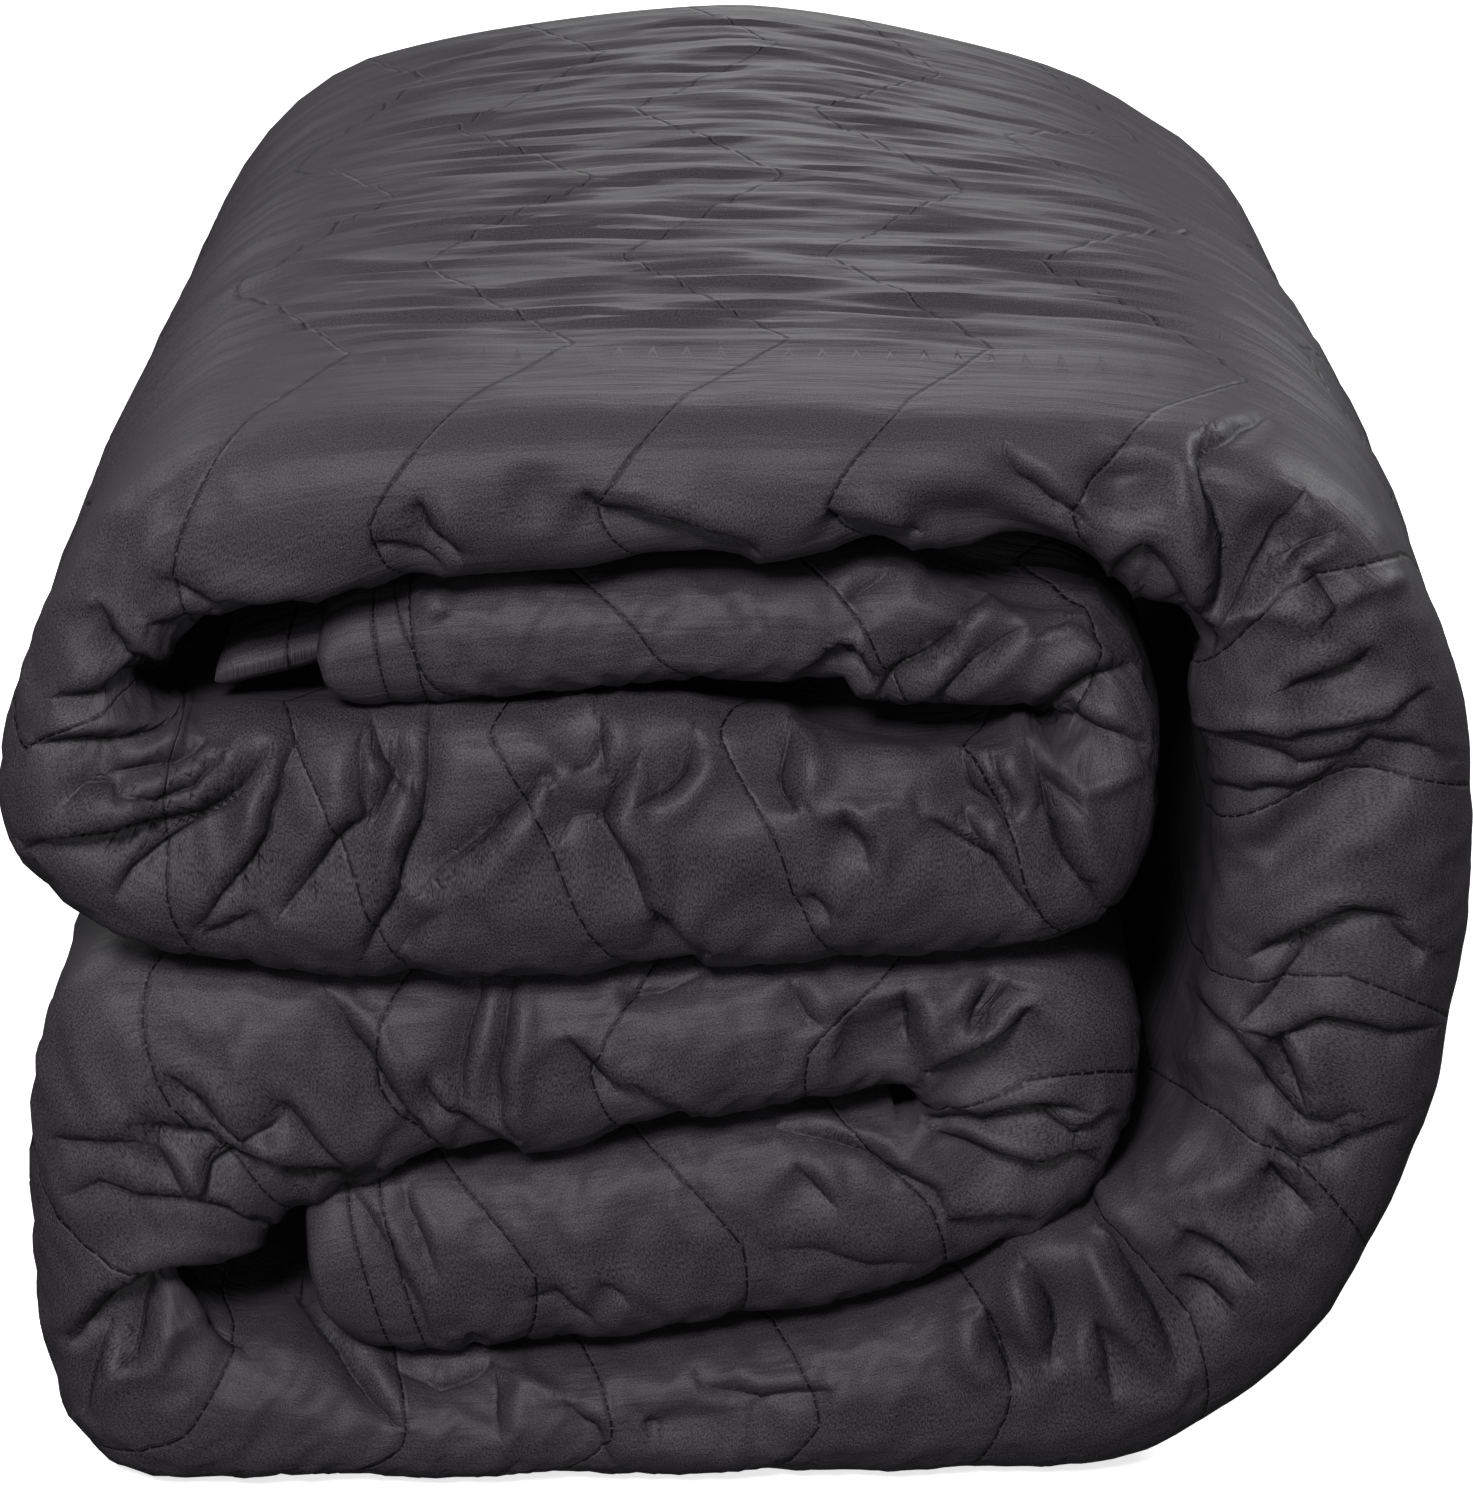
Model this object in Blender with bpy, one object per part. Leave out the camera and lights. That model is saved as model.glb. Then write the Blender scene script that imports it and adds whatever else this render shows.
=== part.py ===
"""A quilted sound dampening blanket, folded lengthwise in four and then back and forth into a bundle.

The four plies make one thick strip whose closed fold faces the front (-Y). Seen from the front, the
strip starts at the inner upper end, turns back at the right, turns up at the left, crosses the top,
goes down the right side in one wide bend, crosses the floor and ends inside the lower half.
Units are metres, +Z is up, and the blanket stands on Z = 0 about the middle of its footprint.
"""

import math
from collections import namedtuple

import bmesh
import bpy
import numpy as np

MM = 0.001

# Driving sizes of the bundle
DEPTH = 460 * MM                # the strip's width, from the closed fold at the front to the hems
FRONT_ROUND = 27 * MM           # how far the closed front fold bulges past the flat faces
FRONT_POWER = 0.78              # 1 makes the fold's profile an ellipse, less makes it boxier
FRONT_ARC = 1.25 * FRONT_ROUND  # length of cloth from the fold's crown to the flat face
SETBACK_REACH = 120 * MM        # depth over which the front folds' different setbacks even out
BACK_ROUND = 13 * MM            # the same for the ply edges at the back
HEM_ROUND = 12 * MM             # length over which the strip's two ends round off
HEM_EDGE = 0.6                  # share of the thickness that is left at the very end
HEM_CLEAR = 1.3 * HEM_ROUND     # least distance of a stitched row from an end
FLOOR_TOUCH = 0.1 * MM          # a face lower than this lies on the floor

# Quilting: zigzag rows of stitches that run from front to back, side by side along the strip
ROW_PITCH = 61.5 * MM
FIRST_ROW = 26 * MM             # from the strip's upper end to the first row
ZIGZAG_SWING = 25 * MM          # to either side of the row's middle line
ZIGZAG_LEG = 80 * MM            # front-to-back length of one leg
CHANNEL_DEPTH = 3.5 * MM        # how far a stitched row is drawn in

# Settling of the bundle towards the back, where it wasn't plumped up
SETTLE_FROM = -0.10             # depth at which the settling begins
SETTLE_FULL = 0.20              # depth at which it is complete
SETTLE_RIGHT = 0.08             # share of the height lost at the right shoulder
SETTLE_LEFT = 0.045             # share of the height lost at the left shoulder
SHOULDER = 0.15                 # distance of a shoulder from the crest
SETTLE_FLOOR = 0.12             # height over which the settling starts, from none at the floor
SETTLE_POWER = 1.5              # how the loss grows from the crest to the shoulder

# Mesh steps
FINE_STEPS = 420                # samples of each face of the strip before rows are laid out
SWING_REACH = 10                # samples over which the zigzag's swing is evened out in a bend
MOST_TURN = math.radians(36)    # largest turn of the strip between two stations, for pairs of stations
MOST_CUTS = 10                  # largest number of stations for each row of stitches
LEG_CUTS = 3                    # columns on each zigzag leg
FRONT_CUTS = 8                  # facets around the closed front fold

# Partings are the lines along which two layers meet, seen from the front. Each row gives the
# distance across, the height of the line and the space between the layers there, in millimetres.
PartingRow = namedtuple("PartingRow", "across height space")
PARTINGS = {
    "crest": (
        PartingRow(-135, 333, 0),
        PartingRow(-112, 336, 0),
        PartingRow(-60, 339, 0),
        PartingRow(20, 340, 0),
        PartingRow(95, 337, 0),
    ),
    "under top": (
        PartingRow(-146, 268, 4),
        PartingRow(-116, 281, 4),
        PartingRow(-90, 287, 3),
        PartingRow(0, 292, 4),
        PartingRow(45, 295, 5),
        PartingRow(80, 291, 7),
        PartingRow(95, 288, 5),
    ),
    "upper slot": (
        PartingRow(-146, 246, 5),
        PartingRow(-112, 246, 5),
        PartingRow(-72, 248, 4),
        PartingRow(-27, 251, 10),
        PartingRow(15, 249, 14),
        PartingRow(40, 244, 9),
        PartingRow(80, 247, 6),
    ),
    "middle": (
        PartingRow(-165, 175, 5),
        PartingRow(-135, 171, 4),
        PartingRow(-112, 169, 3),
        PartingRow(-72, 168, 3),
        PartingRow(-20, 171, 3),
        PartingRow(32, 174, 3),
        PartingRow(80, 178, 4),
    ),
    "lower slot": (
        PartingRow(-132, 97, 5),
        PartingRow(-110, 102, 4),
        PartingRow(-73, 105, 3),
        PartingRow(-48, 108, 3),
        PartingRow(-5, 119, 5),
        PartingRow(27, 124, 5),
        PartingRow(44, 125, 6),
    ),
    "over bottom": (
        PartingRow(-132, 44, 6),
        PartingRow(-117, 40, 5),
        PartingRow(-100, 37, 4),
        PartingRow(-52, 41, 4),
        PartingRow(-11, 46, 4),
        PartingRow(19, 51, 4),
        PartingRow(60, 63, 4),
        PartingRow(78, 73, 4),
        PartingRow(95, 84, 5),
    ),
    "floor": (
        PartingRow(-165, 0, 0),
        PartingRow(95, 0, 0),
    ),
}

# The six runs of the strip from its upper end to its lower end. Heading is +1 for a run that goes
# to the right. Setback is how far the front fold stands behind the foremost one, in millimetres.
Run = namedtuple("Run", "name heading above below setback")
RUNS = (
    Run("inner upper", +1, "under top", "upper slot", 14),
    Run("upper", -1, "upper slot", "middle", 0),
    Run("top", +1, "crest", "under top", 3),
    Run("bottom", -1, "over bottom", "floor", 3),
    Run("lower", +1, "middle", "lower slot", 8),
    Run("inner lower", -1, "lower slot", "over bottom", 10),
)

# The strip's two ends: where the outer and the inner face stop, in millimetres across.
UPPER_END = {"outer": -116, "inner": -110}
LOWER_END = {"outer": -117, "inner": -129}

# The bends between the runs. Each face leaves its run at "from", reaches out to "tip" across at
# height "mid", and comes back to the next run. The two roundness numbers are superellipse
# exponents before and after the tip: 2 is an ellipse and a larger number is boxier.
Turn = namedtuple("Turn", "leave tip mid round_in round_out")
Bend = namedtuple("Bend", "outer inner")
BENDS = (
    Bend(Turn(80, 118.5, 240, 1.95, 2.6), Turn(80, 85, 246, 2.0, 2.0)),
    Bend(Turn(-135, -206, 224, 1.9, 1.62), Turn(-146, -160, 252, 2.0, 2.0)),
    Bend(Turn(95, 208.5, 190, 2.4, 2.08), Turn(95, 136, 186, 2.8, 1.8)),
    Bend(Turn(-165, -207.8, 75, 3.2, 2.8), Turn(-132, -155, 64, 2.0, 2.0)),
    Bend(Turn(78, 118.5, 136, 2.3, 1.85), Turn(44, 50, 125, 2.0, 2.0)),
)

FABRIC_COLOUR = (0.028, 0.026, 0.027, 1.0)
FABRIC_ROUGHNESS = 0.82


def smooth_step(t):
    """Rises from 0 to 1 with level ends as t goes from 0 to 1."""
    t = np.clip(t, 0.0, 1.0)
    return t * t * (3.0 - 2.0 * t)


def curve_through(across, values, at):
    """A smooth curve through the given values, read at the distances in at."""
    across, values, at = (np.asarray(a, float) for a in (across, values, at))
    slopes = np.gradient(values, across)
    i = np.clip(np.searchsorted(across, at) - 1, 0, len(across) - 2)
    width = across[i + 1] - across[i]
    t = np.clip((at - across[i]) / width, 0.0, 1.0)
    return (
        (2 * t**3 - 3 * t**2 + 1) * values[i]
        + (t**3 - 2 * t**2 + t) * width * slopes[i]
        + (3 * t**2 - 2 * t**3) * values[i + 1]
        + (t**3 - t**2) * width * slopes[i + 1]
    )


def parting_height(name, across, side):
    """Height of the layer above (side +1) or below (side -1) a parting, in millimetres."""
    rows = PARTINGS[name]
    places = [row.across for row in rows]
    line = curve_through(places, [row.height for row in rows], across)
    space = np.interp(across, places, [row.space for row in rows])
    return line + side * space / 2


def face_line(run, face, across):
    """One face of a run as points (across, height) in millimetres."""
    on_top = (face == "outer") == (run.heading > 0)
    if on_top:
        return np.column_stack([across, parting_height(run.above, across, -1)])
    return np.column_stack([across, parting_height(run.below, across, +1)])


def turn_line(turn, start, end, count):
    """One face of a bend: two superellipse quarters from start to end by way of the tip."""
    reach = turn.tip - turn.leave
    angle = np.linspace(0.0, math.pi, count + 2)[1:-1]
    first = angle <= math.pi / 2
    power = np.where(first, 2.0 / turn.round_in, 2.0 / turn.round_out)
    rise = np.where(first, start - turn.mid, turn.mid - end)
    across = turn.leave + reach * np.abs(np.sin(angle)) ** power
    height = turn.mid + rise * np.sign(np.cos(angle)) * np.abs(np.cos(angle)) ** power
    return np.column_stack([across, height])


def trace_face(face):
    """One face of the whole strip, from the upper end to the lower end, in millimetres."""
    steps = FINE_STEPS // (len(RUNS) + len(BENDS))
    places = [UPPER_END[face]]
    for bend in BENDS:
        places += [getattr(bend, face).leave] * 2
    places.append(LOWER_END[face])
    pieces = []
    for number, run in enumerate(RUNS):
        across = np.linspace(places[2 * number], places[2 * number + 1], steps)
        pieces.append(face_line(run, face, across))
    line = [pieces[0]]
    for bend, before, after in zip(BENDS, pieces, pieces[1:]):
        turn = getattr(bend, face)
        line += [turn_line(turn, before[-1][1], after[0][1], steps), after]
    return np.vstack(line)


def trace_setback():
    """How far the front fold stands back at each sample of the faces, in millimetres."""
    steps = FINE_STEPS // (len(RUNS) + len(BENDS))
    values = [np.full(steps, RUNS[0].setback, float)]
    for before, after in zip(RUNS, RUNS[1:]):
        ramp = smooth_step(np.linspace(0, 1, steps))
        values.append(before.setback + (after.setback - before.setback) * ramp)
        values.append(np.full(steps, after.setback, float))
    return np.concatenate(values)


def soften(line, passes=3):
    """Eases the small kinks where runs and bends join."""
    line = line.copy()
    for _ in range(passes):
        line[1:-1] = (line[:-2] + 2 * line[1:-1] + line[2:]) / 4
    return line


def average_nearby(values, reach=SWING_REACH):
    """Running average over the samples up to reach away on either side."""
    padded = np.pad(values, reach, mode="edge")
    return np.convolve(padded, np.full(2 * reach + 1, 1 / (2 * reach + 1)), mode="valid")


class Strip:
    """The folded strip seen from the front: both faces as functions of the length along it.

    The swing share makes a row's zigzag smaller in a bend, where the outer face is the longer one.
    """

    def __init__(self):
        self.outer = soften(trace_face("outer")) * MM
        self.inner = soften(trace_face("inner")) * MM
        self.setback = trace_setback() * MM
        steps = [np.linalg.norm(np.diff(line, axis=0), axis=1) for line in (self.outer, self.inner)]
        self.along = np.concatenate([[0.0], np.cumsum(sum(steps) / 2)])
        self.length = self.along[-1]
        stretch = np.append(steps[0] / (sum(steps) / 2), 1.0)
        self.swing_share = 1 / np.maximum(average_nearby(stretch), 1.0)

    def read(self, line, at):
        return np.column_stack([np.interp(at, self.along, line[:, k]) for k in (0, 1)])

    def turning(self, start, end):
        """How far the strip's middle line turns between two lengths along it, in radians."""
        at = np.linspace(start, end, 9)
        steps = np.diff(self.read(self.outer, at) + self.read(self.inner, at), axis=0)
        heading = np.unwrap(np.arctan2(steps[:, 1], steps[:, 0]))
        return float(np.abs(np.diff(heading)).sum())

    def thickness_share(self, at):
        """Share of the thickness near an end, where the hem rounds the strip off."""
        edge = np.clip(np.minimum(at, self.length - at) / HEM_ROUND, 0.0, 1.0)
        return HEM_EDGE + (1 - HEM_EDGE) * np.sqrt(1 - (1 - edge) ** 2)


def station_table(strip):
    """Stations along the strip: (length along it, share of the channel depth, share of the zigzag)."""
    rows = int((strip.length - FIRST_ROW - 2 * HEM_ROUND) // ROW_PITCH)
    places = []
    for row in range(rows):
        start = FIRST_ROW + row * ROW_PITCH
        pairs = min(max(math.ceil(strip.turning(start, start + ROW_PITCH) / MOST_TURN), 1), MOST_CUTS // 2)
        places += [(start + cut / (2 * pairs) * ROW_PITCH, cut / (2 * pairs)) for cut in range(2 * pairs)]
    places.append((FIRST_ROW + rows * ROW_PITCH, 0.0))
    stations = []
    for along, phase in places:
        deep = 1.0 - smooth_step(4 * min(phase, 1 - phase))
        room = min(along, strip.length - along) - HEM_CLEAR
        stations.append((along, float(deep), min(room / ZIGZAG_SWING, 1.0)))
    hem = [(HEM_ROUND * share, 0.0, 0.0) for share in (0.0, 0.3, 1.0)]
    return hem + stations + [(strip.length - along, deep, swing) for along, deep, swing in reversed(hem)]


def zigzag(reach):
    """Sideways swing of a stitched row at a distance along the cloth from the front fold."""
    legs = np.abs(reach) / ZIGZAG_LEG
    saw = np.abs((legs % 2.0) - 1.0)
    return ZIGZAG_SWING * (1.0 - 2.0 * saw)


def back_lobes():
    """The ply edges at the back, from the outer to the inner face: a fold of two plies, then two hems.

    Each entry is (side, bulge): side goes from +1 on the outer face to -1 on the inner face.
    """
    points = []
    for low, high, facets in ((0.0, 1.0, 4), (-0.5, 0.0, 3), (-1.0, -0.5, 3)):
        middle, half = (low + high) / 2, (high - low) / 2
        for step in range(1, facets + 1):
            angle = math.pi * step / facets
            points.append((middle + half * math.cos(angle), math.sin(angle) * math.sqrt(half)))
    return points[:-1]


def ring_table():
    """Points around the strip's cross-section: (side, depth, distance along the cloth from the front).

    Side runs from +1 on the outer face to -1 on the inner face. The ring starts and ends on the
    front fold, goes back along the outer face and returns along the inner one.
    """
    front = -DEPTH / 2 + FRONT_ROUND
    back = DEPTH / 2 - BACK_ROUND
    first = front + ZIGZAG_LEG - FRONT_ARC
    columns = [front, (front + first) / 2]
    columns += list(np.arange(first, back - ZIGZAG_LEG / LEG_CUTS / 2, ZIGZAG_LEG / LEG_CUTS))
    columns.append(back)
    ring = []
    for step in range(FRONT_CUTS // 2):
        angle = math.pi / 2 * step / (FRONT_CUTS // 2)
        side = math.sin(angle) ** FRONT_POWER
        depth = front - FRONT_ROUND * math.cos(angle) ** FRONT_POWER
        ring.append((side, depth, FRONT_ARC * step / (FRONT_CUTS // 2)))
    face = [(depth, FRONT_ARC + depth - front) for depth in columns]
    ring += [(1.0, depth, reach) for depth, reach in face]
    reach = face[-1][1]
    ring += [(side, back + BACK_ROUND * bulge, reach) for side, bulge in back_lobes()]
    ring += [(-1.0, depth, reach) for depth, reach in reversed(face)]
    ring += [(-side, depth, reach) for side, depth, reach in reversed(ring[1:FRONT_CUTS // 2])]
    return ring


def settle(point):
    """Lowers the shoulders of the bundle towards the back and leaves the floor where it is."""
    share = smooth_step((point[1] - SETTLE_FROM) / (SETTLE_FULL - SETTLE_FROM))
    drop = SETTLE_RIGHT if point[0] > 0 else SETTLE_LEFT
    height = smooth_step(point[2] / SETTLE_FLOOR)
    return point[2] * (1 - share * height * drop * min(abs(point[0]) / SHOULDER, 1.0) ** SETTLE_POWER)


def strip_point(strip, station, ring_point):
    """Where one point of the cross-section lies in the folded bundle.

    A stitched row draws the faces together and the front fold back. A face on the floor stays flat.
    """
    along, deep, swing = station
    side, depth, reach = ring_point
    swing *= np.interp(along, strip.along, strip.swing_share)
    at = np.clip([along + swing * zigzag(reach)], 0.0, strip.length)
    outer, inner = strip.read(strip.outer, at)[0], strip.read(strip.inner, at)[0]
    half = (outer - inner) / 2 * strip.thickness_share(at)[0]
    drawn = deep * CHANNEL_DEPTH * smooth_step((DEPTH / 2 - depth) / (2 * BACK_ROUND))
    across, height = (outer + inner) / 2 + half * side * (1 - drawn / np.linalg.norm(half))
    near = 1 - smooth_step((depth + DEPTH / 2) / SETBACK_REACH)
    back = near * (np.interp(at[0], strip.along, strip.setback) + drawn * (1 - abs(side)))
    if side == 1.0 and outer[1] < FLOOR_TOUCH:
        return (across, depth + back, 0.0)
    return (across, depth + back, settle((across, depth + back, height)))


def fabric():
    """Black woven cotton, nearly matt."""
    material = bpy.data.materials.new("black quilted cotton")
    material.use_nodes = True
    shader = material.node_tree.nodes["Principled BSDF"]
    shader.inputs["Base Color"].default_value = FABRIC_COLOUR
    shader.inputs["Roughness"].default_value = FABRIC_ROUGHNESS
    shader.inputs["Metallic"].default_value = 0.0
    return material


def build_blanket():
    """Sweeps the cross-section along the folded strip, closes both ends and centres the bundle."""
    strip = Strip()
    stations = station_table(strip)
    ring = ring_table()
    mesh = bpy.data.meshes.new("blanket")
    shell = bmesh.new()
    rings = [[shell.verts.new(strip_point(strip, station, point)) for point in ring] for station in stations]
    for before, after in zip(rings, rings[1:]):
        for k in range(len(ring)):
            n = (k + 1) % len(ring)
            shell.faces.new((before[k], before[n], after[n], after[k]))
    shell.faces.new(rings[0])
    shell.faces.new(rings[-1])
    bmesh.ops.recalc_face_normals(shell, faces=shell.faces)
    low = [min(v.co[axis] for v in shell.verts) for axis in (0, 1, 2)]
    high = [max(v.co[axis] for v in shell.verts) for axis in (0, 1, 2)]
    centre = (-(low[0] + high[0]) / 2, -(low[1] + high[1]) / 2, -low[2])
    bmesh.ops.translate(shell, verts=shell.verts, vec=centre)
    shell.to_mesh(mesh)
    shell.free()
    mesh.shade_smooth()
    blanket = bpy.data.objects.new("blanket", mesh)
    blanket.data.materials.append(fabric())
    bpy.context.scene.collection.objects.link(blanket)
    return blanket


for old in list(bpy.data.objects):
    bpy.data.objects.remove(old)
build_blanket()
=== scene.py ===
# A quilted sound dampening blanket, folded lengthwise in four and then back and forth into a bundle.
# The closed fold of the four plies faces the front. Sizes are in millimetres until a mesh is filled.
import math

import bmesh
import bpy
import numpy as np
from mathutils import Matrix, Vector, noise


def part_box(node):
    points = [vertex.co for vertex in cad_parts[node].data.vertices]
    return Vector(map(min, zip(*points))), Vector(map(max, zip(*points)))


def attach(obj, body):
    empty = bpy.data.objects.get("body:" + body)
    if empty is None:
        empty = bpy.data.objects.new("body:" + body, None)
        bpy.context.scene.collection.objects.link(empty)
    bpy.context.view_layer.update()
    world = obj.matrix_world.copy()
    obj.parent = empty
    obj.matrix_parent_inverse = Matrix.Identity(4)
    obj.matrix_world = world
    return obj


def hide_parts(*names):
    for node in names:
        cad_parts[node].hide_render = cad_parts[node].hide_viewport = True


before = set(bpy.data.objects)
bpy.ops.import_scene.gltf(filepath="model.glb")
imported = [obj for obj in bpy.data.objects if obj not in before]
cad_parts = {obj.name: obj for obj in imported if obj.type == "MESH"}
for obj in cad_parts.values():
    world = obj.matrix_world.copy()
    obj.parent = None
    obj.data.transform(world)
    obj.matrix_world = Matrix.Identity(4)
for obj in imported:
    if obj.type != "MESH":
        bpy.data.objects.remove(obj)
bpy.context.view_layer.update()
mm = 0.001

# The folded strip, the same forms as the solid
bundle = {
    "depth": 460,          # width of the strip, front fold to hems
    "frontRound": 27,      # bulge of the closed front fold
    "frontPower": 0.78,    # below 1 the fold is boxier than an ellipse
    "frontArc": 33.75,     # cloth from the fold's crown to the flat face
    "setbackReach": 120,   # depth over which the setbacks even out
    "backRound": 13,       # bulge of the ply edges at the back
    "backCleft": 9,        # depth of the clefts between the plies
    "backArc": 60,         # cloth around the ply edges
    # a folded pair and two hems: middle and half width, as shares of the half thickness
    "plies": ((0.5, 0.5), (-0.25, 0.25), (-0.75, 0.25)),
    "clefts": ((0, 0.09), (-0.5, 0.07)),
    "hemRound": 12,        # length over which the strip's ends round off
    "hemEdge": 0.6,        # share of the thickness at the very end
    "settleFrom": -100,    # the bundle's shoulders sink towards the back
    "settleFull": 200,
    "settleRight": 0.08,
    "settleLeft": 0.045,
    "shoulder": 150,
    "settleFloor": 120,
    "settlePower": 1.5,
}
# cloth from the front crown to where the ply edges start
faceEnd = bundle["frontArc"] + bundle["depth"] - bundle["frontRound"] - bundle["backRound"]

# Lines where two layers meet, seen from the front: across, height, space between the layers
partings = {
    "crest": ((-135, 333, 0), (-112, 336, 0), (-60, 339, 0), (20, 340, 0), (95, 337, 0)),
    "under top": (
        (-146, 268, 4), (-116, 281, 4), (-90, 287, 3), (0, 292, 4), (45, 295, 5), (80, 291, 7),
        (95, 288, 5),
    ),
    "upper slot": (
        (-146, 246, 5), (-112, 246, 5), (-72, 248, 4), (-27, 251, 10), (15, 249, 14), (40, 244, 9),
        (80, 247, 6),
    ),
    "middle": (
        (-165, 175, 5), (-135, 171, 4), (-112, 169, 3), (-72, 168, 3), (-20, 171, 3), (32, 174, 3),
        (80, 178, 4),
    ),
    "lower slot": (
        (-132, 97, 5), (-110, 102, 4), (-73, 105, 3), (-48, 108, 3), (-5, 119, 5), (27, 124, 5),
        (44, 125, 6),
    ),
    "over bottom": (
        (-132, 44, 6), (-117, 40, 5), (-100, 37, 4), (-52, 41, 4), (-11, 46, 4), (19, 51, 4),
        (60, 63, 4), (78, 73, 4), (95, 84, 5),
    ),
    "floor": ((-165, 0, 0), (95, 0, 0)),
}
# Runs from the strip's upper end to its lower end: heading, parting above, parting below, front setback
runs = {
    "inner upper": (+1, "under top", "upper slot", 14),
    "upper": (-1, "upper slot", "middle", 0),
    "top": (+1, "crest", "under top", 3),
    "bottom": (-1, "over bottom", "floor", 3),
    "lower": (+1, "middle", "lower slot", 8),
    "inner lower": (-1, "lower slot", "over bottom", 10),
}
stripEnds = {"outer": (-116, -117), "inner": (-110, -129)}
# Bends between the runs, for each face: leave, tip, mid, roundness before and after the tip
bends = {
    "outer": (
        (80, 118.5, 240, 1.95, 2.6), (-135, -206, 224, 1.9, 1.62), (95, 208.5, 190, 2.4, 2.08),
        (-165, -207.8, 75, 3.2, 2.8), (78, 118.5, 136, 2.3, 1.85),
    ),
    "inner": (
        (80, 85, 246, 2.0, 2.0), (-146, -160, 252, 2.0, 2.0), (95, 136, 186, 2.8, 1.8),
        (-132, -155, 64, 2.0, 2.0), (44, 50, 125, 2.0, 2.0),
    ),
}
stepsEach = 38             # samples of each run and each bend
stepsEven = 10             # samples to either side that even out the swing of the rows

# Zigzag rows of stitches from front to back
quilting = {
    "firstRow": 26,        # from the strip's upper end
    "pitch": 61.5,
    "swing": 25,           # to either side of the row's middle line
    "leg": 80,             # front to back
    "slant": 1.18,         # length of a row for each millimetre front to back
    "lean": 0.85,          # space between rows as a share of the pitch
    "hemClear": 15.6,      # distance from an end at which the zigzag starts
    # along, shift of the zigzag towards the back
    "drift": ((0, -40), (280, -50), (440, -55), (600, 0)),
    "frontDraw": 1.3,      # how far a row draws in the front fold
    "faceDraw": 0.45,      # and the faces behind it
    "stitchLong": 3.3,
    "stitchGap": 0.6,
    "threadWide": 0.6,
}
hemStitches = (16, 26)     # distances of the two hem seams from the strip's ends

# Soft noise over the cloth: length along, length around, how each leans on the other, seed
clothNoises = {
    "stray across": (9, 9, 0, 0, 3.1),
    "stray up": (9, 9, 0, 0, 7.7),
    "long ripple": (75, 5.2, 0, 0.01, 1.3),
    "short ripple": (45, 3.6, 0, 0, 4.4),
    "broad dent": (34, 26, 0, 0, 11.2),
    "small dent": (15, 17, 0, 0, 15.9),
    "gather": (13, 22, 0.4, 0, 21.4),
    "pinch": (9, 16, -0.5, 0, 27.9),
    "puff": (24, 15, 0, 0, 33.1),
    "puff dent": (11, 20, 0, 0, 36.6),
}


def smoothStep(t):
    t = np.clip(t, 0, 1)
    return t * t * (3 - 2 * t)


def fadeIn(value, span):  # 0 up to the first number of the span, then up to 1 over the second
    return smoothStep((value - span[0]) / span[1])


def fadeOut(value, span):
    return 1 - fadeIn(value, span)


def bell(far, wide):
    return np.exp(-((far / wide) ** 2))


def curveThrough(across, values, at):
    across, values = np.asarray(across, float), np.asarray(values, float)
    slopes = np.gradient(values, across)
    i = np.clip(np.searchsorted(across, at) - 1, 0, len(across) - 2)
    wide = across[i + 1] - across[i]
    t = np.clip((at - across[i]) / wide, 0, 1)
    return (
        (2 * t**3 - 3 * t**2 + 1) * values[i] + (t**3 - 2 * t**2 + t) * wide * slopes[i]
        + (3 * t**2 - 2 * t**3) * values[i + 1] + (t**3 - t**2) * wide * slopes[i + 1]
    )


def partingHeight(name, across, side):
    places, heights, spaces = zip(*partings[name])
    return curveThrough(places, heights, across) + side * np.interp(across, places, spaces) / 2


def runLine(run, face, start, end):  # one face of a run, across and height
    heading, above, below, _ = run
    across = np.linspace(start, end, stepsEach)
    if (face == "outer") == (heading > 0):
        return np.column_stack([across, partingHeight(above, across, -1)])
    return np.column_stack([across, partingHeight(below, across, +1)])


def bendLine(bend, start, end):  # two superellipse quarters by way of the tip
    leave, tip, mid, roundIn, roundOut = bend
    angle = np.linspace(0, math.pi, stepsEach + 2)[1:-1]
    first = angle <= math.pi / 2
    power = np.where(first, 2 / roundIn, 2 / roundOut)
    rise = np.where(first, start - mid, mid - end)
    cosine = np.cos(angle)
    across = leave + (tip - leave) * np.abs(np.sin(angle)) ** power
    return np.column_stack([across, mid + rise * np.sign(cosine) * np.abs(cosine) ** power])


def traceFace(face):
    places = [stripEnds[face][0]]
    for bend in bends[face]:
        places += [bend[0], bend[0]]
    places.append(stripEnds[face][1])
    lines = [runLine(run, face, places[2 * k], places[2 * k + 1]) for k, run in enumerate(runs.values())]
    whole = [lines[0]]
    for bend, before, after in zip(bends[face], lines, lines[1:]):
        whole += [bendLine(bend, before[-1][1], after[0][1]), after]
    line = np.vstack(whole)
    for _ in range(3):
        line[1:-1] = (line[:-2] + 2 * line[1:-1] + line[2:]) / 4
    return line


def traceSetback():
    setbacks = [run[3] for run in runs.values()]
    values = [np.full(stepsEach, setbacks[0], float)]
    for before, after in zip(setbacks, setbacks[1:]):
        values.append(before + (after - before) * smoothStep(np.linspace(0, 1, stepsEach)))
        values.append(np.full(stepsEach, after, float))
    return np.concatenate(values)


def traceStrip():
    outer, inner = traceFace("outer"), traceFace("inner")
    steps = [np.linalg.norm(np.diff(line, axis=0), axis=1) for line in (outer, inner)]
    along = np.concatenate([[0], np.cumsum(sum(steps) / 2)])
    stretch = np.pad(np.append(steps[0] / (sum(steps) / 2), 1), stepsEven, mode="edge")
    window = 2 * stepsEven + 1
    share = 1 / np.maximum(np.convolve(stretch, np.full(window, 1 / window), mode="valid"), 1)
    return {"outer": outer, "inner": inner, "along": along, "length": along[-1],
            "setback": traceSetback(), "swingShare": share}


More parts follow.
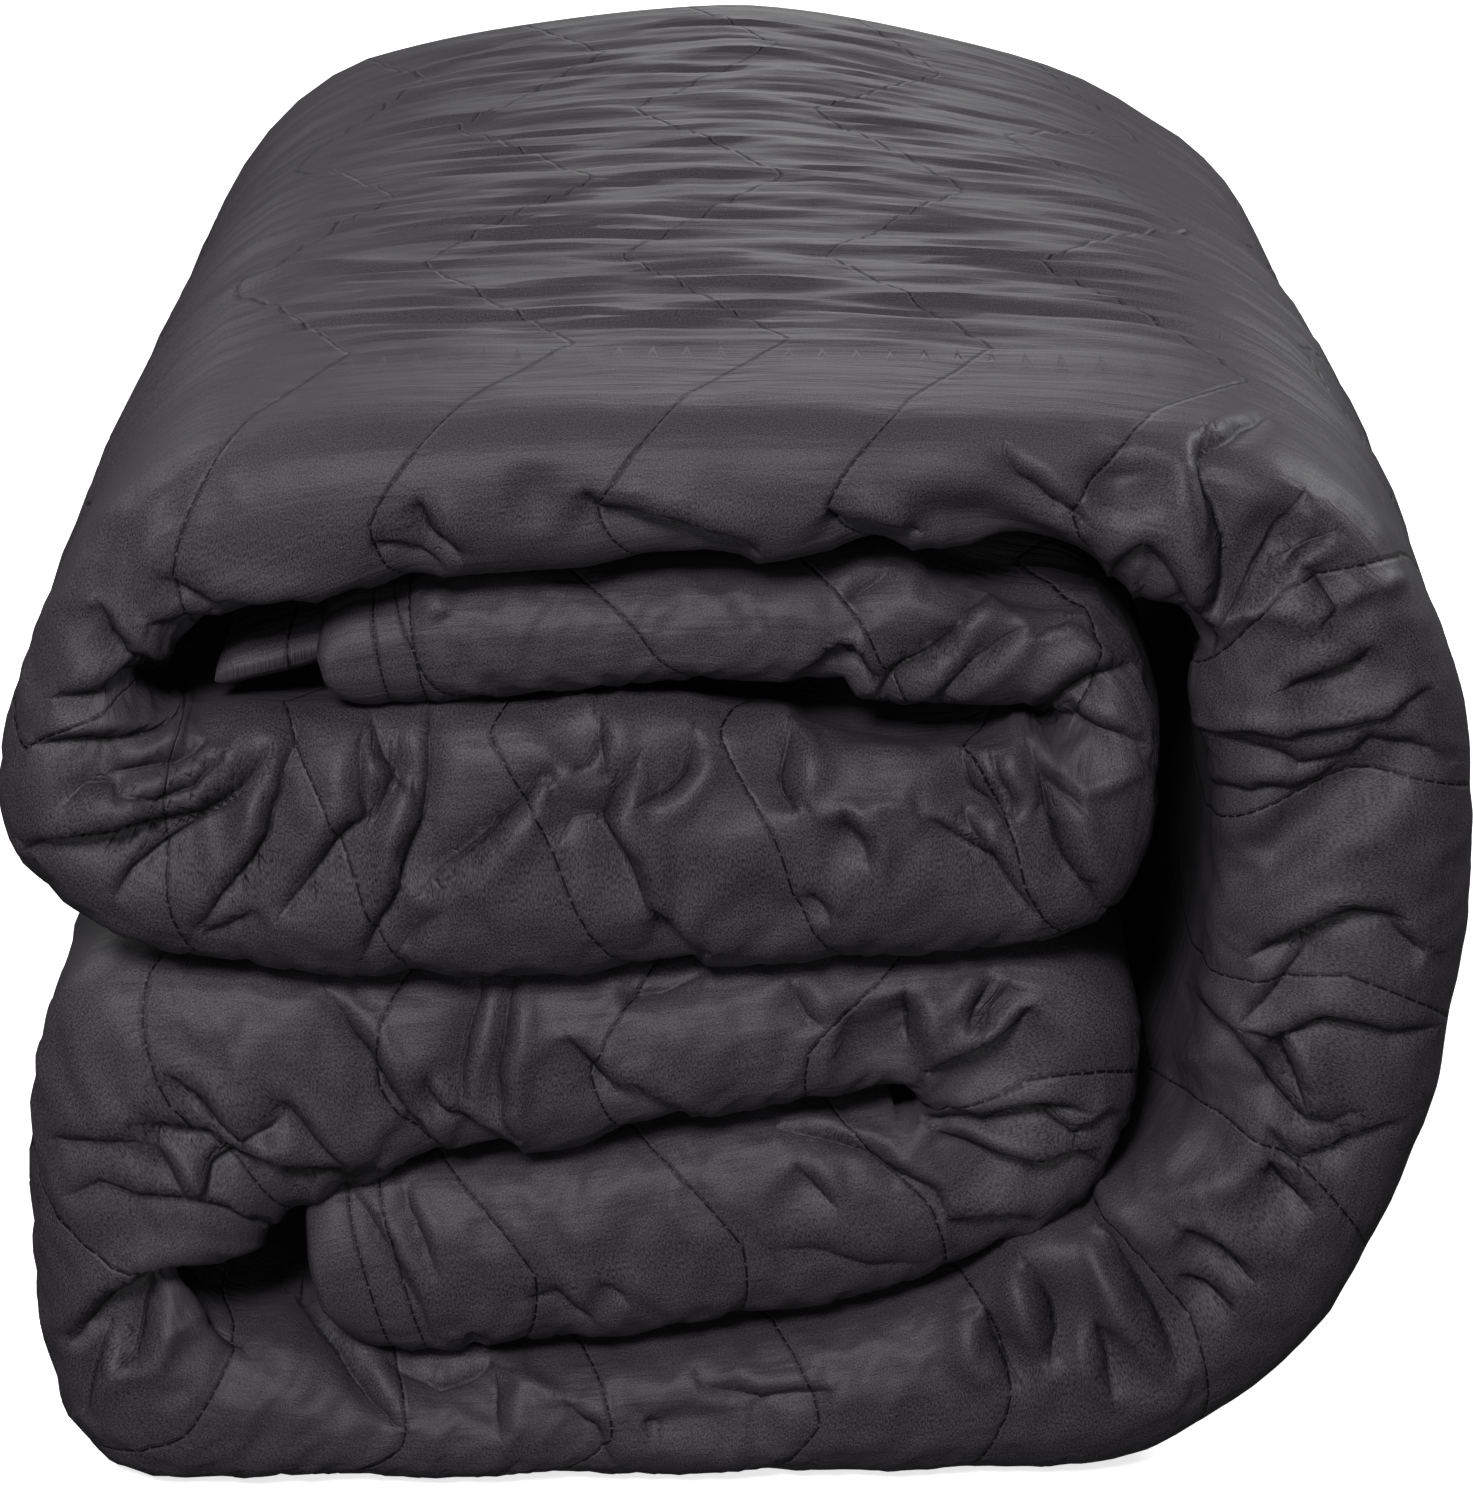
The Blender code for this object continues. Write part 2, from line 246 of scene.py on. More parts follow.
strip = traceStrip()


def stripPlace(places):  # length along the strip, where 2.5 is half way through run or bend 2
    return np.interp(np.multiply(places, stepsEach), np.arange(len(strip["along"])), strip["along"])


def alongTable(along, table):  # reads rows of run or bend and share of it, value
    places, values = zip(*table)
    return np.interp(along, stripPlace(places), values)


def hemDistance(along):
    return np.minimum(along, strip["length"] - along)


def crossSection(around):  # side and depth of a point that far round the strip from the front crown
    front = -bundle["depth"] / 2 + bundle["frontRound"]
    back = bundle["depth"] / 2 - bundle["backRound"]
    size = np.abs(around)
    angle = np.clip(size / bundle["frontArc"], 0, 1) * math.pi / 2
    side = np.sin(angle) ** bundle["frontPower"]
    depth = front - bundle["frontRound"] * np.cos(angle) ** bundle["frontPower"]
    depth = np.where(size > bundle["frontArc"], front + size - bundle["frontArc"], depth)
    depth = np.minimum(depth, back)
    side = side * np.sign(around)
    count = len(bundle["plies"])
    lobe = np.clip((around - faceEnd) / bundle["backArc"], 0, 1) * count
    which = np.clip(np.floor(lobe), 0, count - 1).astype(int)
    middle, half = np.array(bundle["plies"])[which].T
    turn = (lobe - which) * math.pi
    backSide = middle + half * np.cos(turn)
    cleft = sum(bell(backSide - place, wide) for place, wide in bundle["clefts"])
    backDepth = back + bundle["backRound"] * np.sqrt(half) * np.sin(turn) - bundle["backCleft"] * cleft
    behind = around > faceEnd
    return np.where(behind, backSide, side), np.where(behind, backDepth, depth)


def foldCloth(along, around):  # the smooth bundle: where a point of the strip lies, in millimetres
    along = np.clip(along, 0, strip["length"])
    outer, inner = (
        np.column_stack([np.interp(along, strip["along"], strip[face][:, k]) for k in (0, 1)])
        for face in ("outer", "inner")
    )
    side, depth = crossSection(around)
    end = np.clip(hemDistance(along) / bundle["hemRound"], 0, 1)
    share = bundle["hemEdge"] + (1 - bundle["hemEdge"]) * np.sqrt(1 - (1 - end) ** 2)
    place = (outer + inner) / 2 + (outer - inner) / 2 * (share * side)[:, None]
    near = 1 - smoothStep((depth + bundle["depth"] / 2) / bundle["setbackReach"])
    depth = depth + near * np.interp(along, strip["along"], strip["setback"])
    sink = smoothStep((depth - bundle["settleFrom"]) / (bundle["settleFull"] - bundle["settleFrom"]))
    drop = np.where(place[:, 0] > 0, bundle["settleRight"], bundle["settleLeft"])
    lever = np.minimum(np.abs(place[:, 0]) / bundle["shoulder"], 1) ** bundle["settlePower"]
    height = place[:, 1] * (1 - sink * smoothStep(place[:, 1] / bundle["settleFloor"]) * drop * lever)
    return np.column_stack([place[:, 0], depth, height])


def clothNormal(along, around, reach=1.2):  # which way the smooth bundle faces there
    slopeAlong = foldCloth(along + reach, around) - foldCloth(along - reach, around)
    slopeAround = foldCloth(along, around + reach) - foldCloth(along, around - reach)
    normal = np.cross(slopeAlong, slopeAround)
    return normal / np.maximum(np.linalg.norm(normal, axis=1), 1e-9)[:, None]


def rowPhase(along, around):  # whole numbers on the stitched rows
    drift = np.interp(along, *zip(*quilting["drift"]))
    legs = np.abs(around + drift) / quilting["leg"]
    zigzag = quilting["swing"] * (1 - 2 * np.abs(legs % 2 - 1))
    room = np.clip((hemDistance(along) - quilting["hemClear"]) / quilting["swing"], 0, 1)
    share = np.interp(along, strip["along"], strip["swingShare"])
    return (along - zigzag * share * room - quilting["firstRow"]) / quilting["pitch"]


rowCount = int((strip["length"] - quilting["firstRow"] - 2 * bundle["hemRound"]) // quilting["pitch"])


def rowDistance(along, around):  # how far the nearest row of stitches is
    phase = rowPhase(along, around)
    return np.abs(phase - np.clip(np.round(phase), 0, rowCount)) * quilting["pitch"] * quilting["lean"]


def clothNoise(along, around, kind):  # about -1 to 1
    long, wide, lean, slant, seed = clothNoises[kind]
    first, second = (along + lean * around) / long, around / wide + slant * along
    return np.array([noise.noise(Vector((a, b, seed))) for a, b in zip(first, second)])


# Creases on the front folds, listed one by one. Each is deep, wide, path: deep is how far it draws in,
# or stands out where negative; wide is its half width; path is across and height on the plane just
# behind the front, as seen from the camera, with the rolled edge of the fold on its left.
creases = {
    "outside": [
        # upper left bend
        (4, 5, (-155, 284), (-150, 280), (-141, 274), (-126, 274), (-113, 275), (-99, 280)),
        (3.5, 4.5, (-173, 277), (-171, 267), (-165, 260), (-157, 258), (-151, 259)),
        (2.5, 5, (-160, 270), (-151, 268), (-139, 267), (-124, 270)),
        (3.5, 4.5, (-187, 248), (-175, 249), (-164, 253), (-150, 258)),
        (3.5, 4.5, (-194, 234), (-184, 234), (-174, 234), (-166, 237), (-156, 241)),
        (3, 4, (-172, 226), (-166, 228), (-156, 229), (-146, 232)),
        (2.5, 4, (-171, 217), (-172, 223), (-180, 222), (-185, 218)),
        (3.5, 4.5, (-170, 219), (-160, 218), (-151, 222), (-141, 229)),
        (7, 6,
            (-198, 203), (-183, 204), (-168, 207), (-158, 210), (-149, 213), (-137, 222), (-132, 228),
            (-128, 231),
        ),
        (3, 4.5, (-174, 186), (-169, 194), (-158, 203), (-147, 212), (-138, 218)),
        (3.5, 5,
            (-153, 175), (-144, 187), (-134, 199), (-130, 207), (-129, 217), (-126, 224), (-120, 237),
        ),
        (2, 4, (-151, 174), (-140, 178), (-134, 183)),
        # lip of the top run
        (3.5, 5, (-86, 306), (-82, 296), (-74, 289)),
        (2.5, 4, (-98, 294), (-89, 290), (-79, 286)),
        (1.5, 6.5, (-53, 318), (-54, 307), (-55, 298)),
        (7, 6, (-41, 309), (-37, 303), (-21, 298), (-7, 294), (6, 291)),
        (5, 5, (24, 304), (28, 299), (38, 296), (49, 295)),
        (6, 8, (46, 296), (56, 299), (66, 297), (76, 291), (88, 286), (100, 284)),
        (5, 6, (100, 284), (110, 291), (116, 284), (124, 273), (130, 262)),
        # upper right
        (2.6, 4, (71.5, 324), (72, 320), (76, 314), (84, 307), (92, 301), (95, 299)),
        (5, 8, (111, 320), (103, 313), (98, 305)),
        (6, 5.5, (129, 275), (131, 282), (131, 293), (128, 305), (125, 318), (124, 327)),
        (1.5, 3, (123, 320.5), (128, 324), (134.5, 328.5), (141, 331)),
        (4, 5, (152, 309), (149, 303), (146, 296), (143, 289), (138, 280), (132, 272)),
        (5, 7, (150, 304), (146, 295), (142, 286), (136, 276)),
        (3, 4, (161, 298), (156, 295), (152, 291), (148, 285)),
        (2.5, 4, (158, 270), (163, 276), (158, 284), (152, 287)),
        (-2, 4, (138, 272), (144, 275), (151, 273), (158, 272), (162, 276), (168, 281), (183, 284)),
        (3.5, 6, (150, 252), (161, 254), (170, 258), (173, 264)),
        (-1.5, 4, (130, 244), (142, 242), (153, 239), (168, 242), (178, 245), (190, 254)),
        (2, 4, (130, 242), (142, 239), (153, 237), (168, 239), (178, 243), (190, 251)),
        (2, 4,
            (134, 239), (146, 233), (155, 228), (164, 229), (171, 230), (175, 234), (183, 233),
            (192, 233), (199, 230),
        ),
        (2, 4, (132, 224), (141, 220), (154, 219), (163, 222), (168, 227)),
        (5, 8, (130, 194), (142, 198), (155, 206), (165, 214), (174, 222), (183, 229), (191, 233)),
        # right side, lower half
        (5, 5.5, (145, 169), (150, 171), (162, 175), (173, 180), (188, 181)),
        (2, 3.5, (183, 180), (188, 174), (195, 169)),
        (5, 6, (127, 160), (136, 147), (151, 125), (162, 115), (172, 114), (179, 119)),
        (3.5, 5, (145, 146), (154, 141), (167, 146), (186, 143), (200, 146)),
        (6, 5, (153, 142), (158, 131), (164, 120)),
        (2, 4, (145, 149), (154, 160), (162, 172)),
        # lower right
        (5, 12, (124, 134), (132, 114), (136, 94)),
        (7, 6, (93, 32), (94, 42), (91, 55), (87, 66)),
        (6.5, 6.2, (132, 29), (127, 41), (120, 54), (112, 68), (107, 80)),
        (4.5, 5, (130, 78), (141, 70), (151, 61)),
        (4, 5, (130, 61), (139, 56), (146, 50)),
        (5.5, 6, (154, 99), (159, 91), (167, 85)),
        (3, 4.5, (153, 110), (162, 99), (175, 105), (189, 115)),
        (4, 6, (84, 24), (77, 37), (73, 52)),
        (3, 5, (112, 20), (110, 34), (106, 47)),
        # bottom run
        (-1.5, 4, (-88, 34), (-76, 35), (-66, 29.5), (-57, 22.5), (-49, 20)),
        (1.8, 6, (-71, 29.5), (-72.5, 17), (-71.5, 7)),
        (1.5, 7, (-40, 12), (-10, 11), (15, 12)),
        (1.6, 5, (-52, 20), (-41, 6), (-37, -4)),
        (2, 5, (-11, 27), (7, 20), (28, 23)),
        (1.2, 3, (-28, 10), (-22, 10)),
        # lower left bend
        (5, 5.5, (-176, 116), (-166, 114), (-150, 109), (-138, 104), (-120, 102), (-102, 102)),
        (2, 5, (-198, 109), (-186, 108), (-176, 109), (-168, 108)),
        (3.5, 5, (-162, 131), (-156, 124), (-150, 117), (-143, 112), (-130, 117)),
        (2.5, 4, (-167, 108), (-164, 101), (-160, 94)),
        (3.5, 4.5, (-156, 94), (-151, 102), (-145, 104), (-132, 102), (-123, 101)),
        (2.5, 4.5, (-193, 91), (-185, 94), (-173, 90), (-157, 92), (-146, 92), (-126, 98)),
        (8, 6.2, (-198, 39), (-184, 53), (-167, 62), (-149, 70), (-133, 77), (-116, 88)),
        (5, 5, (-168, 60), (-174, 46), (-178, 34), (-183, 30)),
        (2.5, 5, (-184, 46), (-191, 30), (-196, 14)),
        (5, 5, (-148, 38), (-153, 48), (-153, 58), (-152, 74)),
        (3, 5, (-134, 55), (-123, 39), (-115, 30), (-100, 9)),
        (2.5, 4, (-134, 124), (-128, 118), (-123, 112), (-112, 104)),
        (2, 6, (-103, 30), (-88, 25), (-73, 32), (-64, 29)),
    ],
    "inner upper": [
        (4, 9, (50, 290), (65, 290), (80, 285), (95, 278)),
        (-2, 5, (-83, 280), (-80, 272)),
        (5, 6, (27, 264), (31, 258), (35, 257)),
        (3, 4, (31, 264.5), (35, 255), (37, 250)),
        (1.5, 5, (29, 278), (41, 288)),
        (4, 5, (60, 272), (58.5, 267.5), (54.5, 261.5), (46, 255.5), (39, 248)),
        (2.5, 4, (78, 270), (71.5, 264), (64, 258), (57, 250.5), (56, 247)),
        (2, 4, (68.5, 282.5), (63, 275.5), (60, 270)),
        (1.3, 3, (91.5, 273), (84.5, 270), (81.5, 266)),
        (4, 5, (81, 244.5), (90, 249.5), (99, 255.5), (109.5, 259.5)),
    ],
    "upper": [
        (5, 8, (14, 244), (45, 242), (76, 241)),
        (2.5, 4, (80, 242.5), (88, 243), (96, 240.5), (103, 237.5), (114, 235)),
        (2, 4, (80, 234), (86, 225), (92, 219), (95.5, 214)),
        (4.5, 5.5, (83.5, 229), (87.5, 211.5), (92, 199.5), (96, 193), (105, 183)),
        (-1.2, 3, (93, 221.5), (98, 220.5), (103.5, 223), (113, 229)),
        (5, 5, (62, 233), (65, 225.5), (70, 218), (74, 212)),
        (2.5, 4, (70, 232.5), (73.5, 224), (77, 217), (77.5, 210.5)),
        (2.2, 4, (63, 215.5), (66, 208), (69.5, 203)),
        (3, 4.5, (53.5, 213), (61, 205.5), (70.5, 198.5), (77, 189.5), (82, 183.5), (85.5, 180)),
        (1.8, 4, (29.5, 211.5), (35, 205.5), (37, 196)),
        (3, 5.5, (-128, 182), (-121, 190), (-112, 202), (-104, 212), (-104, 224), (-102, 236)),
        (3.5, 5, (-105, 169), (-94, 189), (-88, 209), (-86, 229), (-83, 241)),
        (2.5, 4, (-102, 209), (-95, 226), (-93, 234)),
        (2.5, 4, (-92, 220), (-95, 229), (-100, 238)),
        (2.5, 4, (-38, 236), (-42, 232), (-44, 228)),
        (2, 4, (-38, 240), (-37, 232), (-36, 224)),
        (4, 5, (-12, 235), (-14, 228), (-19, 221), (-26, 216)),
        (5.5, 6, (-27, 230), (-34, 222), (-38, 211), (-35, 205), (-31, 197), (-28, 190), (-25, 181)),
        (-1.8, 3.5, (-34, 215), (-32, 206), (-30, 199)),
        (1.6, 6, (-39, 211), (-45, 210), (-49, 202)),
        (4, 5, (-53, 228), (-59, 219), (-69, 206), (-77, 198), (-84, 193), (-88, 187)),
        (1.5, 3, (-51, 228), (-51, 221)),
        (5.5, 6, (14, 237), (12, 228), (14, 221), (17, 215)),
        (2, 4, (29, 215), (32, 207), (37, 199)),
        (-1.5, 4, (21, 214), (30, 214), (43, 215), (50, 215)),
        (4, 5, (-24, 184), (-19, 175), (-14, 170.5), (-8, 170)),
        (1.5, 7, (0, 190), (10, 182), (16, 176)),
        (2, 4, (20, 189), (24, 184), (27, 179)),
        (2, 4, (-84, 181), (-89, 175), (-95, 169.5)),
    ],
    "lower": [
        (3, 4, (-72, 166), (-74, 155), (-76.5, 145), (-78.5, 132), (-79, 118)),
        (3, 4, (-62.5, 166), (-65, 156.5), (-66.5, 142.5), (-68, 129.5), (-67.5, 116.5), (-62.5, 108.5)),
        (3, 4.5, (-116, 158), (-108, 142), (-102, 130), (-96, 118), (-90, 106)),
        (2.4, 4, (-89, 129.5), (-88.5, 124), (-85.5, 118), (-80, 115)),
        (3.5, 4.5, (-81, 118), (-75.5, 111), (-68, 107), (-61.5, 104.5)),
        (2.4, 4, (-94.5, 116.5), (-90, 108.5), (-84.5, 103)),
        (4, 5, (-48, 143), (-44, 134), (-38, 126), (-28, 122), (-12, 117)),
        (1.6, 5, (-32, 152), (-30, 158), (-19, 161), (-10, 164)),
        (2.2, 4.5, (15, 161), (20, 150), (24, 145)),
        (6, 9, (28, 139), (41, 135), (55, 134)),
        (8, 5.5, (47, 158), (48, 149), (49, 136)),
        (3, 4, (66, 145), (68, 152), (73, 163)),
        (2, 3.5, (70, 145), (73, 152), (78, 161)),
        (6, 5.5, (54, 130), (67, 134), (80, 143), (85, 152)),
    ],
    "inner lower": [
        (4.5, 5, (53, 116), (70, 114), (85, 117), (101, 118)),
        (2.5, 3.5, (85, 117), (93, 112), (98, 110), (111, 118)),
        (5.5, 5, (56, 112), (68, 104), (75, 101), (88, 99), (98, 102), (106, 101)),
        (3, 4, (62, 81), (74, 80), (87, 81)),
        (1.6, 3, (-97, 94), (-93, 80.5), (-87.5, 62.5)),
        (1.6, 3, (-112, 95), (-97, 60), (-90, 42)),
        (1.2, 6, (10, 72), (20.5, 71.5), (30, 69), (41.5, 66), (52, 65.5)),
        (2.5, 4, (12, 113), (28, 110), (40, 104), (47, 97), (58, 90), (62, 82)),
        (2, 4.5, (17, 100), (23, 92), (29, 86)),
        (2, 4, (-62, 54.5), (-53.5, 56), (-49, 51), (-42, 47.5)),
        (1.6, 4, (-40.5, 61.5), (-32, 53)),
        (1.6, 4, (-80, 43.5), (-74, 40.5)),
    ],
}
# Which stretch of the strip each list reaches, as runs and bends counted from the upper end
creaseSpans = {
    "inner upper": (0, 1.9),
    "upper": (1.0, 3.9),
    "outside": (2.5, 8.5),
    "lower": (7.0, 9.9),
    "inner lower": (9.0, 11),
}
creaseShape = {
    "depth": 2.1,          # times each crease's own depth
    "softFrom": 6.5,       # half width from which a crease is a soft trough
    "tip": 0.55,           # share of the half width at a crease's ends
    "belly": 0.45,         # and what its middle adds
    "sharpShare": 0.22,    # reach of the steep side, as a share of the half width
    "sharpLeast": 1.25,    # and what is added to that
    "roll": (0.4, 1.2, 0.9),  # rolled edge: height, place and half width
    "gentle": (0.7, 1.9, 1.3),  # long side: depth, reach and power
    "gentleSharp": 0.3,    # the rest of its depth, close to the crease
    "deepest": 11,         # creases together draw in no further
    "highest": 4.5,        # and stand out no further
    "stray": 1.1,          # how far a crease wanders from its path
    # fades: where each starts, and over how much
    "hiddenFade": (42, 30),  # cloth from the crown, on the inner faces
    "shownFade": (110, 40),  # and on the outside
    "lineFade": (1.2, 1.8),  # distance from the crease, for its thin line in the bump and in painted shade
    "lineReach": 6.0,      # past this the line isn't drawn at all
    "lineFull": 3.5,       # depth from which it is at full strength
}
eye = {"place": (0, -1.2147, 0.704), "tilt": 24.8, "lens": 96}
readingPlane = {"y": -215, "lift": -9}


def readingPlace(points):  # across and height of each point on the reading plane, seen from the camera
    eyeY, eyeZ = eye["place"][1] / mm, eye["place"][2] / mm
    share = (readingPlane["y"] - eyeY) / (points[:, 1] - eyeY)
    return points[:, 0] * share, eyeZ + (points[:, 2] - eyeZ) * share + readingPlane["lift"]


def pathDistance(across, height, path):  # distance to a path, the side it is on, and how far along it
    path = np.array(path, float)
    lengths = np.linalg.norm(np.diff(path, axis=0), axis=1)
    starts = np.concatenate([[0], np.cumsum(lengths)])
    best = np.full(len(across), 1e9)
    share, side = np.zeros(len(across)), np.zeros(len(across))
    for k, ((x0, z0), (x1, z1)) in enumerate(zip(path, path[1:])):
        t = np.clip(((across - x0) * (x1 - x0) + (height - z0) * (z1 - z0)) / lengths[k] ** 2, 0, 1)
        far = np.hypot(across - x0 - t * (x1 - x0), height - z0 - t * (z1 - z0))
        nearer = far < best
        turn = (x1 - x0) * (height - z0) - (z1 - z0) * (across - x0)
        best = np.where(nearer, far, best)
        share = np.where(nearer, (starts[k] + t * lengths[k]) / starts[-1], share)
        side = np.where(nearer, np.sign(turn), side)
    return best, side, share


def nearCreases(along, around, margin):  # each crease with the points within that many half widths
    across, height = readingPlace(foldCloth(along, around) + shift)
    across = across + creaseShape["stray"] * clothNoise(along, around, "stray across")
    height = height + creaseShape["stray"] * clothNoise(along, around, "stray up")
    hidden = fadeOut(np.abs(around), creaseShape["hiddenFade"])
    shown = fadeOut(around, creaseShape["shownFade"])
    for name, rows in creases.items():
        start, end = stripPlace(creaseSpans[name])
        fade = np.where((around > 0) & (name == "outside"), shown, hidden)
        layer = (along > start) & (along < end) & (fade > 0)
        for deep, wide, *path in rows:
            lowX, lowZ = np.min(path, axis=0) - margin * wide
            highX, highZ = np.max(path, axis=0) + margin * wide
            inside = (across > lowX) & (across < highX) & (height > lowZ) & (height < highZ)
            near = np.nonzero(layer & inside)[0]
            if len(near):
                yield deep, wide, near, fade[near], pathDistance(across[near], height[near], path)


def creaseRelief(along, around):
    relief = np.zeros(len(along))
    form = creaseShape
    high, place, thick = form["roll"]
    low, reach, power = form["gentle"]
    for deep, wide, near, fade, (far, side, share) in nearCreases(along, around, margin=5):
        taper = np.sin(math.pi * np.clip(share, 0, 1)) ** 0.7
        if deep > 0 and wide < form["softFrom"]:  # a steep side with a rolled edge, and a gentle side
            wide = wide * (form["tip"] + form["belly"] * taper)
            sharp = form["sharpShare"] * wide + form["sharpLeast"]
            rolled = -np.exp(-far / sharp) + high * bell(far - place * wide, thick * wide)
            gentle = -low * np.exp(-((far / (reach * wide)) ** power))
            gentle = gentle - form["gentleSharp"] * np.exp(-far / sharp)
            shape = np.where(side > 0, rolled, gentle)
        else:
            shape = -bell(far, wide)
        relief[near] += form["depth"] * deep * taper * shape * fade
    drawn = -form["deepest"] * np.tanh(-relief / form["deepest"])
    return np.where(relief < 0, drawn, form["highest"] * np.tanh(relief / form["highest"]))


def creaseLines(along, around):  # signed distance to the nearest sharp crease, and how strong that is: these set the crease's bump line and its painted shade
    form = creaseShape
    nearest = np.full(len(along), form["lineReach"])
    signed, strength = nearest.copy(), np.zeros(len(along))
    for deep, wide, near, fade, (far, side, share) in nearCreases(along, around, margin=2):
        if deep > 0 and wide < form["softFrom"]:
            closer = far < nearest[near]
            here = near[closer]
            nearest[here] = far[closer]
            signed[here] = (far * side)[closer]
            power = min(deep / form["lineFull"], 1) * np.sin(math.pi * (0.03 + 0.94 * share)) ** 0.5
            strength[here] = (power * fadeOut(far, form["lineFade"]) * fade)[closer]
    return signed, strength


def creaseDistance(along, around):  # how far the nearest narrow crease is
    nearest = np.full(len(along), 99.0)
    for _, wide, near, _, (far, _, _) in nearCreases(along, around, margin=3):
        if wide < creaseShape["softFrom"]:
            nearest[near] = np.minimum(nearest[near], far)
    return nearest


# Larger soft forms, listed one by one: run or bend and share of it, cloth from the front crown, how far
# it stands out, half lengths along and around
lobes = {
    "flap over the lower hollow": (7.84, -33, 19, 32, 24),
    "flap beside the lower end": (8.06, -34, 10, 26, 22),
    "floor of the lower hollow": (6.97, -38, 10, 40, 24),
    "left of the upper hollow": (3.3, -28, 7, 24, 20),
    "under the upper hollow": (2.93, -32, 6, 30, 20),
    "lip over the slot, left": (2.72, -34, 4, 40, 14),
    "lip over the slot, middle": (2.45, -34, 7, 46, 14),
    "lip over the slot, right": (2.12, -34, 5, 40, 14),
    "knot in the corner": (5.08, -28, 7, 16, 20),
    "under the knot": (5.3, -24, 5, 18, 18),
    "finger on the right": (5.86, -30, 6, 14, 22),
    "lower right flap": (6.02, -30, 7, 20, 18),
    "inner edge of the right side": (5.45, -32, 2.5, 110, 13),
}


def lobeRelief(along, around):
    relief = np.zeros(len(along))
    for place, middle, height, long, wide in lobes.values():
        far = ((along - stripPlace(place)) / long) ** 2 + ((around - middle) / wide) ** 2
        relief += height * np.exp(-far)
    return relief


# How lively the front is: run or bend and share of it, share of the dents, draws and slack
lively = ((0, 1), (3.9, 1), (4.15, 0.3), (4.85, 0.3), (5.1, 1), (11, 1))


def liveliness(along, around):
    return np.where(around > -45, alongTable(along, lively), 1)  # inside the folds it is always full


# How far the quilting and the softness of the cloth stand out; fades as where each starts, over how much
clothForms = {
    "frontFade": (20, 70),  # cloth from the crown
    "edgeFade": 25,        # before the ply edges
    "rowDraw": ((0.75, 11), (0.25, 3.6)),  # share and half width of the two parts of a row's draw
    "ripple": 2,           # across the rows on the top and the outer faces
    "rippleFrom": (50, 55),
    "dent": 1.0,
    "dentBehind": 0.5,
    "gather": 0.4,
    "pinch": 0.15,
    "gatherFrom": (2, 12),  # distance from the hem
    "seamDraw": (0.7, 2),  # depth and half width of a hem seam
    "puff": 2.2,           # on the ply edges
    "puffFrom": (0, 8),
    "puffHem": (4, 16),
    "puffRow": 7,          # half width of the rows there
}


def clothRelief(along, around):  # how far the cloth stands out from the smooth bundle
    form = clothForms
    far = rowDistance(along, around)
    hem = hemDistance(along)
    front = fadeOut(np.abs(around), form["frontFade"]) * liveliness(along, around)
    edge = smoothStep((faceEnd - np.abs(around)) / form["edgeFade"])
    draw = quilting["frontDraw"] * front + quilting["faceDraw"] * (1 - front)
    relief = -draw * edge * sum(share * bell(far, wide) for share, wide in form["rowDraw"])
    ripple = clothNoise(along, around, "long ripple") + 0.7 * clothNoise(along, around, "short ripple")
    relief += form["ripple"] * ripple * fadeIn(around, form["rippleFrom"]) * edge
    dents = clothNoise(along, around, "broad dent") + 0.6 * clothNoise(along, around, "small dent")
    relief += form["dent"] * dents * front + form["dentBehind"] * dents * (1 - front) * edge
    gathers = 1 - 2 * np.abs(clothNoise(along, around, "gather"))
    pinches = 1 - 2 * np.abs(clothNoise(along, around, "pinch"))
    gathered = form["gather"] * (gathers - 0.5) + form["pinch"] * (pinches - 0.5)
    relief += gathered * front * fadeIn(hem, form["gatherFrom"])
    seamDeep, seamWide = form["seamDraw"]
    relief -= seamDeep * sum(bell(hem - seam, seamWide) for seam in hemStitches)
    behind = fadeIn(around - faceEnd, form["puffFrom"]) * fadeIn(hem, form["puffHem"])
    puffs = clothNoise(along, around, "puff") - 0.5 * np.abs(clothNoise(along, around, "puff dent"))
    relief += form["puff"] * behind * puffs - behind * bell(far, form["puffRow"])
    return relief + lobeRelief(along, around) + creaseRelief(along, around)


blanketMesh = {
    "alongStep": 9.6,      # base grid along the strip
    "frontStep": 2.4,      # columns in the front band
    "frontBand": (-40.8, 60),  # cloth on either side of the crown that is finely divided
    "frontCuts": 3,        # extra cuts along the strip there
    "faces": 448,          # cloth on either side of the crown that is divided in columns
    "outerStep": 16,       # columns on the outer face
    "outerCuts": 5,        # extra columns where the outer face shows
    "shownSpan": (3.1, 8),  # the runs and bends where it does
    "behindBand": 34,      # depth behind the front band with one more cut along the strip
    "innerStep": 32,
    "backColumns": 18,
    "nearCrease": 2,       # distance from a crease within which the cloth is divided once more
    # how far the middle of an end lies in: across in metres, and as shares of depth and height
    "endInset": (0.005, 0.03, 0.45),
}
clothLayers = ("alongStrip", "aroundStrip", "rowPhase", "creaseSide", "creasePower")


def clothColumns():
    low, high = blanketMesh["frontBand"]
    inner = np.arange(-blanketMesh["faces"], low - 10, blanketMesh["innerStep"])
    middle = np.arange(low, high, blanketMesh["frontStep"])
    outer = np.arange(high, blanketMesh["faces"] + 1, blanketMesh["outerStep"])
    back = faceEnd + bundle["backArc"] * np.linspace(0, 1, blanketMesh["backColumns"] + 1)
    return np.concatenate([[-faceEnd], inner, middle, outer, back])


def centreShift():  # the solid stands in the middle of its footprint
    along, around = np.meshgrid(np.linspace(0, strip["length"], 800), clothColumns())
    points = foldCloth(along.ravel(), around.ravel())
    low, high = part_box("blanket")
    middle = (points.min(0) + points.max(0)) / 2
    return np.array([(low.x + high.x) / 2 / mm - middle[0], (low.y + high.y) / 2 / mm - middle[1], 0])


shift = centreShift()


